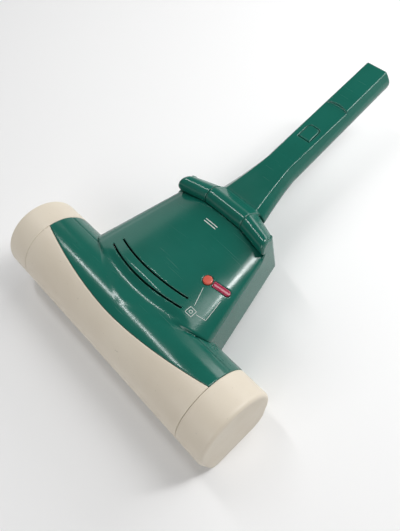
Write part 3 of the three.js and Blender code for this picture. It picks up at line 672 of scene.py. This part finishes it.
def drawer_face(x, y, z):
    skin = high(body_block(x, y, z), -body_block(x, y, z, WALL))
    depth, height = (DRAWER["front"], DRAWER["back"]), (BODY["floor"], DRAWER["top"])
    face = soft_high(skin, block(x, y, z, DRAWER_SIDE, depth, height), DRAWER["round"])
    along = (y - BODY["front"]) / math.cos(TAPER)
    ends = high(np.abs(along - RIBS["along"]) - RIBS["half"], x - DRAWER_SIDE[1])
    for height in RIBS["heights"]:
        rib = np.hypot(side_wall(x, y) / RIBS["flat"], z - height) - RIBS["radius"]
        face = soft_low(face, high(rib, ends), RIBS["blend"])
    return face


# ---- neck -----------------------------------------------------------------------------------


def neck_top(y):
    return NECK["top"] + NECK["slope"] * (y - NECK["start"])


def neck_width(y):
    """How many times wider than its end the neck is."""
    root = np.maximum(0, NECK_FLARE["end"] - y) / (NECK_FLARE["end"] - NECK["start"])
    taper = 1 + NECK_FLARE["taper"] * (NECK["end"] - y)
    return taper + NECK_FLARE["spread"] * root ** NECK_FLARE["power"]


def neck_bar(x, y, z, circles, start, end):
    section = hull(x / neck_width(y), z - neck_top(y), circles)
    return soft_high(section, high(start - y, y - end), NECK_ROUND["end"])


def neck_hollow(x, y, z):
    outside = neck_bar(x, y, z, NECK_SECTION, NECK["start"], NECK["end"])
    start, end = NECK["start"] + NECK_WALL["front"], NECK["end"] - NECK_WALL["end"]
    return high(outside, -neck_bar(x, y, z, NECK_INSIDE, start, end))


def scoop_depth(y):
    return SCOOP["depth"] * (y - SCOOP["start"]) / (SCOOP["end"] - SCOOP["start"])


def thumb_outline(x, y, grow):
    """A rectangle with its two rear corners rounded."""
    half_length, bend = THUMB["length"] / 2, THUMB["bend"]
    across = np.maximum(np.abs(x) - THUMB["half"] + bend, 0)
    behind = np.maximum(y - THUMB["y"] - half_length + bend, 0)
    return high(THUMB["y"] - half_length - y, np.hypot(across, behind) - bend) - grow


def neck_shell(x, y, z):
    under = z - neck_top(y)
    bar = high(neck_hollow(x, y, z), NECK["split"] - under)
    barrel = soft_high(hull(y, z, NECK_ROOT), np.abs(x) - HINGE["half"] + GAP / 2, HINGE["round"])
    scoop_end = SCOOP["end"] + SCOOP["bulge"] * (1 - (x / SCOOP["half"]) ** 2)
    scoop = high(-under - scoop_depth(y), SCOOP["start"] - y, y - scoop_end)
    inlet = high(np.abs(x) - INLET["half"], under - INLET["top"], INLET["bottom"] - under,
                 NECK["end"] - INLET["depth"] - y)
    well = high(thumb_outline(x, y, THUMB["clearance"]), -THUMB["well"] - under)
    pin = rod(y, z, PIN_BORE["radius"], HINGE["y"], HINGE["z"])
    shell = soft_high(soft_low(bar, barrel, NECK_ROUND["root"]), -scoop, SCOOP["round"])
    return high(shell, -well, -inlet, -pin)


def neck_cover(x, y, z):
    edge = z - neck_top(y) - NECK["split"] + GAP
    cover = soft_high(neck_hollow(x, y, z), edge, NECK_ROUND["seam"])
    holes = low(*(rod(x, y, NECK_SCREWS["radius"], 0, place) for place in NECK_SCREWS["places"]))
    return high(cover, -holes)


def thumb_button(x, y, z):
    depth = neck_top(y) - scoop_depth(y) - z
    top = soft_high(thumb_outline(x, y, 0), -depth - THUMB_KEY["proud"], THUMB_KEY["round"])
    key = soft_high(top, depth - THUMB_KEY["foot"], THUMB_KEY["foot_round"])
    stem = high(np.abs(x), np.abs(y - THUMB["y"])) - THUMB_STEM["half"]
    return low(key, high(stem, THUMB_STEM["start"] - depth, depth - THUMB_STEM["end"]))


def press_button(x, y, z):
    u, v, w = into(press_place, x, y, z)
    dome = w - PRESS_HEAD["top"] + (u * u + v * v) * PRESS_HEAD["dome"]
    head = soft_high(rod(u, v, PRESS["radius"]), dome, PRESS_HEAD["round"])
    stem = high(rod(u, v, PRESS_STEM["radius"]), w + PRESS_STEM["start"], -PRESS_STEM["end"] - w)
    return low(high(head, -PRESS_HEAD["foot"] - w), stem)


def lens_form(x, y, z):
    u, v, w = into(lens_place, x, y, z)
    dome = w - LENS_FACE["top"] + v * v * LENS_FACE["dome"]
    face = soft_high(lens_outline(u, v, 0), dome, LENS_FACE["round"])
    return soft_high(face, -LENS_FACE["foot"] - w, LENS_FACE["foot_round"])


# ---- the moulded pieces ---------------------------------------------------------------------

# each list of three pairs holds the x, y and z limits, in millimetres, that a form is meshed in

form_piece("top_casing", upper_shell, [(-118, 118), (-12, 160), (19, 86)],
           green, "body", ["upper_shell"])
for side, name in ((1, "right"), (-1, "left")):
    span = sorted((side * HINGE["half"], side * KNUCKLE_END["outer"]))
    form_piece(f"{name}_knuckle", side_knuckle, [span, (125, 160), (55, 84)],
               green, "body", [], FINE * 0.75)
form_piece("rear_casing", base_shell, [(-118, 118), (5, 159), (4, 70)],
           dark_green, "body", ["base_shell"])
form_piece("front_casing", front_cover, [(-118, 118), (-42, 8), (4, 84)],
           beige, "body", ["front_cover"])
form_piece("sole", sole_plate, [(-118, 118), (-38, 35), (-1, 5)],
           grey, "body", ["sole_plate"])
for side, name in ((1, "right"), (-1, "left")):
    span = sorted((side * CAP_SEAM, side * CAP_END))
    form_piece(f"{name}_cap", end_cap, [span, (-42, 42), (-1, 84)],
               beige, "body", [f"{name}_end_cap"])
form_piece("drawer_front", drawer_face, [(-86, -60), (42, 71), (19, 58)],
           green, "dust_drawer", ["dust_box_face"], 0.6)
form_piece("neck_upper", neck_shell, [(-31, 31), (131, 363), (42, 90)],
           green, "neck", ["neck_shell"])
form_piece("neck_lower", neck_cover, [(-31, 31), (157, 363), (42, 74)],
           dark_green, "neck", ["neck_cover"])
form_piece("thumb_key", thumb_button, [(-8, 8), (248, 268), (70, 82)],
           green, "neck_button", ["thumb_button"], SMALL)
form_piece("press_key", press_button, [(36, 50), (67, 81), (64, 80)],
           red, "press_button", ["red_button"], SMALL)
form_piece("lens_cover", lens_form, [(46, 69), (70, 84), (66, 80)],
           lens_red, "body", ["indicator_lens"], SMALL)

# ---- button springs -------------------------------------------------------------------------


def thumb_frame():
    """Origin and axes of a frame lying in the scoop under the thumb button."""
    y = THUMB["y"]
    slope = NECK["slope"] - SCOOP["depth"] / (SCOOP["end"] - SCOOP["start"])
    normal = Vector((0, -slope, 1)).normalized()
    turned = Vector((0, 0, 1)).rotation_difference(normal).to_matrix()
    return np.array([0, y, neck_top(y) - scoop_depth(y)]), np.array(turned)


def coil_spring(name, place, coil, body):
    """A coil of round wire that rises from its foot along the frame's third axis."""
    origin, axes = place
    points, faces = [], []
    sides, steps = 8, coil["turns"] * 24
    rise = coil["height"] - 2 * coil["wire"]
    for step in range(steps + 1):
        angle = 2 * math.pi * coil["turns"] * step / steps
        middle_w = coil["foot"] + coil["wire"] + rise * step / steps
        for k in range(sides):
            a = 2 * math.pi * k / sides
            out = coil["radius"] + coil["wire"] * math.cos(a)
            w = middle_w + coil["wire"] * math.sin(a)
            points.append(origin + axes @ np.array([out * math.cos(angle), out * math.sin(angle), w]))
    for step in range(steps):
        first, second = sides * step, sides * (step + 1)
        for k in range(sides):
            n = (k + 1) % sides
            faces.append([first + k, second + k, second + n, first + n])
    faces.append(list(range(sides)))
    faces.append([sides * steps + k for k in reversed(range(sides))])
    piece = mesh_piece(name, to_row(points), faces, steel, body, [name.replace("coil", "spring")])
    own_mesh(piece)


coil_spring("red_button_coil", press_place, PRESS_COIL, "body")
coil_spring("thumb_button_coil", thumb_frame(), THUMB_COIL, "neck")

# ---- bristles -------------------------------------------------------------------------------


def tufts(name, start, end, turn):
    """Rows of nylon tufts that wind round the brush roll."""
    rng = np.random.default_rng(int(start * 7 + turn * 100) + 2000)
    points, faces = [], []
    sides, radius = TUFT["sides"], TUFT["radius"]
    spread = TUFT_SPREAD
    for x in np.arange(start + TUFT_ROW["first"], end - TUFT_ROW["last"], TUFT_ROW["apart"]):
        for _ in range(TUFT_ROW["count"]):
            root = np.array([x + rng.normal(0, spread["along"]), rng.normal(0, spread["across"])])
            tip = root + rng.normal(0, spread["tip"], 2)
            tip = np.clip(tip, [start, -TUFT["side"]], [end, TUFT["side"]])
            length = TUFT["tip"] - abs(rng.normal(0, spread["length"]))
            for (px, side), out in ((root, TUFT["root"]), (tip, length)):
                angle = turn + TUFT_ROW["wind"] * px
                for k in range(sides):
                    a = 2 * math.pi * k / sides
                    across = side + radius * math.sin(a)
                    points.append((px + radius * math.cos(a),
                                   out * math.cos(angle) + across * math.sin(angle),
                                   ROLL_Z + out * math.sin(angle) - across * math.cos(angle)))
            first = len(points) - 2 * sides
            for k in range(sides):
                n = (k + 1) % sides
                faces.append([first + k, first + n, first + sides + n, first + sides + k])
            faces.append([first + sides + k for k in range(sides)])
            faces.append([first + k for k in reversed(range(sides))])
    node = name.replace("tufts", "bristles")
    mesh_piece(name, to_row(points), faces, nylon, "brush", [node])


for place, (start, end) in (("long", (-106, 50)), ("short", (66, 106))):
    for row, turn in (("front", 0.4), ("rear", 0.4 + math.pi)):
        tufts(f"tufts_{place}_{row}", start, end, turn)

# ---- running wheels -------------------------------------------------------------------------


def wheel_form(side):
    """The form of the running wheel on one side of the body."""
    def form(x, y, z):
        across = np.abs(x - side * WHEEL["x"])
        radius = np.hypot(y - WHEEL["y"], z - WHEEL["radius"])
        tyre = soft_high(radius - WHEEL["radius"], across - WHEEL["half"], WHEEL["round"])
        ring = np.abs(radius - WHEEL_DISH["radius"]) - WHEEL_DISH["half"]
        dish = high(ring, WHEEL["half"] - WHEEL_DISH["depth"] - across)
        return high(tyre, -dish, WHEEL["axle"] - radius)
    return form


for side, name in ((1, "right"), (-1, "left")):
    span = sorted((side * WHEEL["x"] - 5, side * WHEEL["x"] + 5))
    form_piece(f"{name}_roller", wheel_form(side), [span, (108, 128), (-1, 20)],
               grey, f"wheel_{name}", [f"{name}_wheel"], 0.5)

# ---- printed marks, all generic -------------------------------------------------------------

PRINT_LIFTS = (-0.05, 0.06)
STROKES = {"x": 0, "y": 118, "half": 8, "apart": 2.8, "width": 0.9}
ICON = {"x": 54.8, "y": 42, "half": 3.5, "ring": 1.5, "width": 0.5}
GUIDE_WIDTH = 0.45

def print_line(name, route, width):
    """A flat printed line lying on the body's top."""
    points, faces = [], []
    route = [np.array(p, float) for p in route]
    for i, here in enumerate(route):
        way = route[min(i + 1, len(route) - 1)] - route[max(i - 1, 0)]
        across = np.array([-way[1], way[0]]) / max(np.hypot(*way), 1e-6) * width / 2
        for edge in (here - across, here + across):
            for lift in PRINT_LIFTS:
                points.append((*edge, top_height(*edge) + lift))
    for i in range(len(route) - 1):
        a, b = 4 * i, 4 * i + 4
        for p, q in ((0, 1), (1, 3), (3, 2), (2, 0)):
            faces.append([a + p, a + q, b + q, b + p])
    last = 4 * (len(route) - 1)
    faces.append([0, 2, 3, 1])
    faces.append([last, last + 1, last + 3, last + 2])
    mesh_piece(name, to_row(points), faces, ink, "body")


def between(start, end, count=8):
    """Points along a straight line."""
    return [np.array(start) + (np.array(end) - np.array(start)) * t for t in np.linspace(0, 1, count)]


def circle(x, y, radius, count=16):
    return [(x + radius * math.cos(a), y + radius * math.sin(a))
            for a in np.linspace(0, 2 * math.pi, count)]


for index, side in enumerate((-1, 1)):
    row = STROKES["y"] + side * STROKES["apart"] / 2
    ends = [(STROKES["x"] + way * STROKES["half"], row) for way in (-1, 1)]
    print_line(f"mark_stroke_{index + 1}", between(*ends), STROKES["width"])

square = [(ICON["x"] + sx * ICON["half"], ICON["y"] + sy * ICON["half"])
          for sx, sy in ((-1, -1), (1, -1), (1, 1), (-1, 1), (-1, -1))]
for index in range(4):
    print_line(f"icon_side_{index + 1}", between(square[index], square[index + 1]), ICON["width"])
print_line("icon_ring", circle(ICON["x"], ICON["y"], ICON["ring"]), ICON["width"])
# routes in millimetres on the body's top, from the icon's edge
to_lens = [*between((60, 43.5), (69, 46), 6), *between((68.6, 49), (65, 68), 8)]
print_line("guide_line_lens", to_lens, GUIDE_WIDTH)
print_line("guide_line_button", between((53, 48), (45.5, 66), 10), GUIDE_WIDTH)

# ---- floor, light and camera ----------------------------------------------------------------

FLOOR_HALF = 1.2
floor_mesh = bpy.data.meshes.new("floor")
floor_corners = [(-FLOOR_HALF, -FLOOR_HALF, 0), (FLOOR_HALF, -FLOOR_HALF, 0),
                 (FLOOR_HALF, FLOOR_HALF, 0), (-FLOOR_HALF, FLOOR_HALF, 0)]
floor_mesh.from_pydata(floor_corners, [], [(0, 1, 2, 3)])
floor = bpy.data.objects.new("floor", floor_mesh)
bpy.context.scene.collection.objects.link(floor)
floor_material = bpy.data.materials.new("floor")
floor_material.use_nodes = True
floor_shader = floor_material.node_tree.nodes["Principled BSDF"]
floor_shader.inputs["Base Color"].default_value = (0.9, 0.9, 0.9, 1)
floor_shader.inputs["Roughness"].default_value = 0.9
floor_mesh.materials.append(floor_material)

HORIZON_STRENGTH = 0.7
ZENITH_STRENGTH = 0.12
FADE_BAND = (0.05, 0.42)
world = bpy.data.worlds.new("studio")
world.use_nodes = True
world_nodes, world_links = world.node_tree.nodes, world.node_tree.links
direction = world_nodes.new("ShaderNodeTexCoord").outputs["Generated"]
split = world_nodes.new("ShaderNodeSeparateXYZ")
fade = world_nodes.new("ShaderNodeMapRange")
fade.interpolation_type = "SMOOTHSTEP"
for key, value in (("From Min", FADE_BAND[0]), ("From Max", FADE_BAND[1]),
                   ("To Min", HORIZON_STRENGTH), ("To Max", ZENITH_STRENGTH)):
    fade.inputs[key].default_value = value
world_links.new(direction, split.inputs["Vector"])
world_links.new(split.outputs["Z"], fade.inputs["Value"])
world_nodes["Background"].inputs["Color"].default_value = (1, 1, 1, 1)
world_links.new(fade.outputs["Result"], world_nodes["Background"].inputs["Strength"])
bpy.context.scene.world = world
bpy.context.scene.view_settings.view_transform = "Standard"


def soft_light(name, location, target, size, power):
    """A rectangular light of the given width and height, aimed at the target."""
    data = bpy.data.lights.new(name, "AREA")
    data.shape = "RECTANGLE"
    data.size, data.size_y = size
    data.energy = power
    light = bpy.data.objects.new(name, data)
    light.location = location
    light.rotation_euler = (Vector(target) - Vector(location)).to_track_quat("-Z", "Y").to_euler()
    bpy.context.scene.collection.objects.link(light)


soft_light("key", (0.15, 1.35, 0.7), (0, 0, 0), (1.3, 0.7), 11)
soft_light("strip", (-0.6, 0.02, 1.2), (-0.05, -0.1, 0.08), (0.06, 0.62), 3)
soft_light("edge", (0.5, 0.62, 0.98), (0, 0, 0.05), (0.14, 0.6), 6)
soft_light("glow", (0.3, 0.5, 1.1), (0, 0, 0.05), (0.3, 0.6), 2.4)
soft_light("left", (-1.4, 0.4, 0.6), (0, 0, 0), (1.0, 0.8), 2.2)
soft_light("front", (0.2, -1.4, 1.0), (0, 0, 0), (1.2, 0.7), 8)

CAMERA_PLACE = (0.2593, -0.1953, 0.5250)
CAMERA_RIGHT = Vector((0.6706, 0.7236, -0.1634))
CAMERA_FORWARD = Vector((-0.4486, 0.2202, -0.8662))
CAMERA_LENS = 37.97
camera_data = bpy.data.cameras.new("camera")
camera_data.lens = CAMERA_LENS
camera_data.sensor_width = 36
camera_data.clip_start = 0.01
camera = bpy.data.objects.new("camera", camera_data)
right = CAMERA_RIGHT.normalized()
up = right.cross(CAMERA_FORWARD).normalized()
turned = Matrix((right, up, -CAMERA_FORWARD.normalized())).transposed()
camera.matrix_world = Matrix.Translation(CAMERA_PLACE) @ turned.to_4x4()
bpy.context.scene.collection.objects.link(camera)
bpy.context.scene.camera = camera
